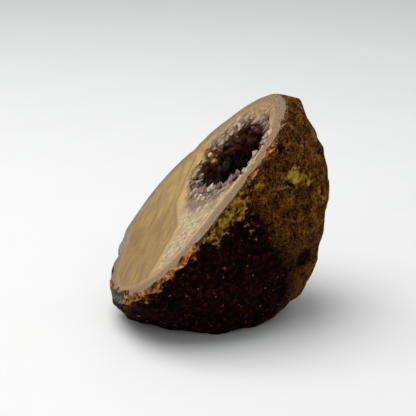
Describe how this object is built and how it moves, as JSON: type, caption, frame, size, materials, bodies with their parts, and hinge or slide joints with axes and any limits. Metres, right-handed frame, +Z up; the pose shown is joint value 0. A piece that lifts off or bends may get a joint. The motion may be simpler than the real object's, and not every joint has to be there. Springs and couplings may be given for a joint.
{
  "type": "geode half",
  "caption": "Half of a rough brown stone nodule, sawn across and polished, with a hollow lined with dark pointed crystals. It rests on its underside.",
  "frame": {"origin": "on the surface it rests on, under the middle of its bounding box", "axes": "+Z up, the sawn face looks toward -Y and up, +X across the sawn face"},
  "size_m": [0.0806, 0.094, 0.0938],
  "materials": {
    "stone": "rough brown rind, polished tan and lilac-grey sawn face",
    "crystal": "glossy facets, dark purple-brown, partly clear"
  },
  "bodies": {
    "root": {"stone": "stone", "crystal_crust": "crystal"}
  },
  "joints": []
}
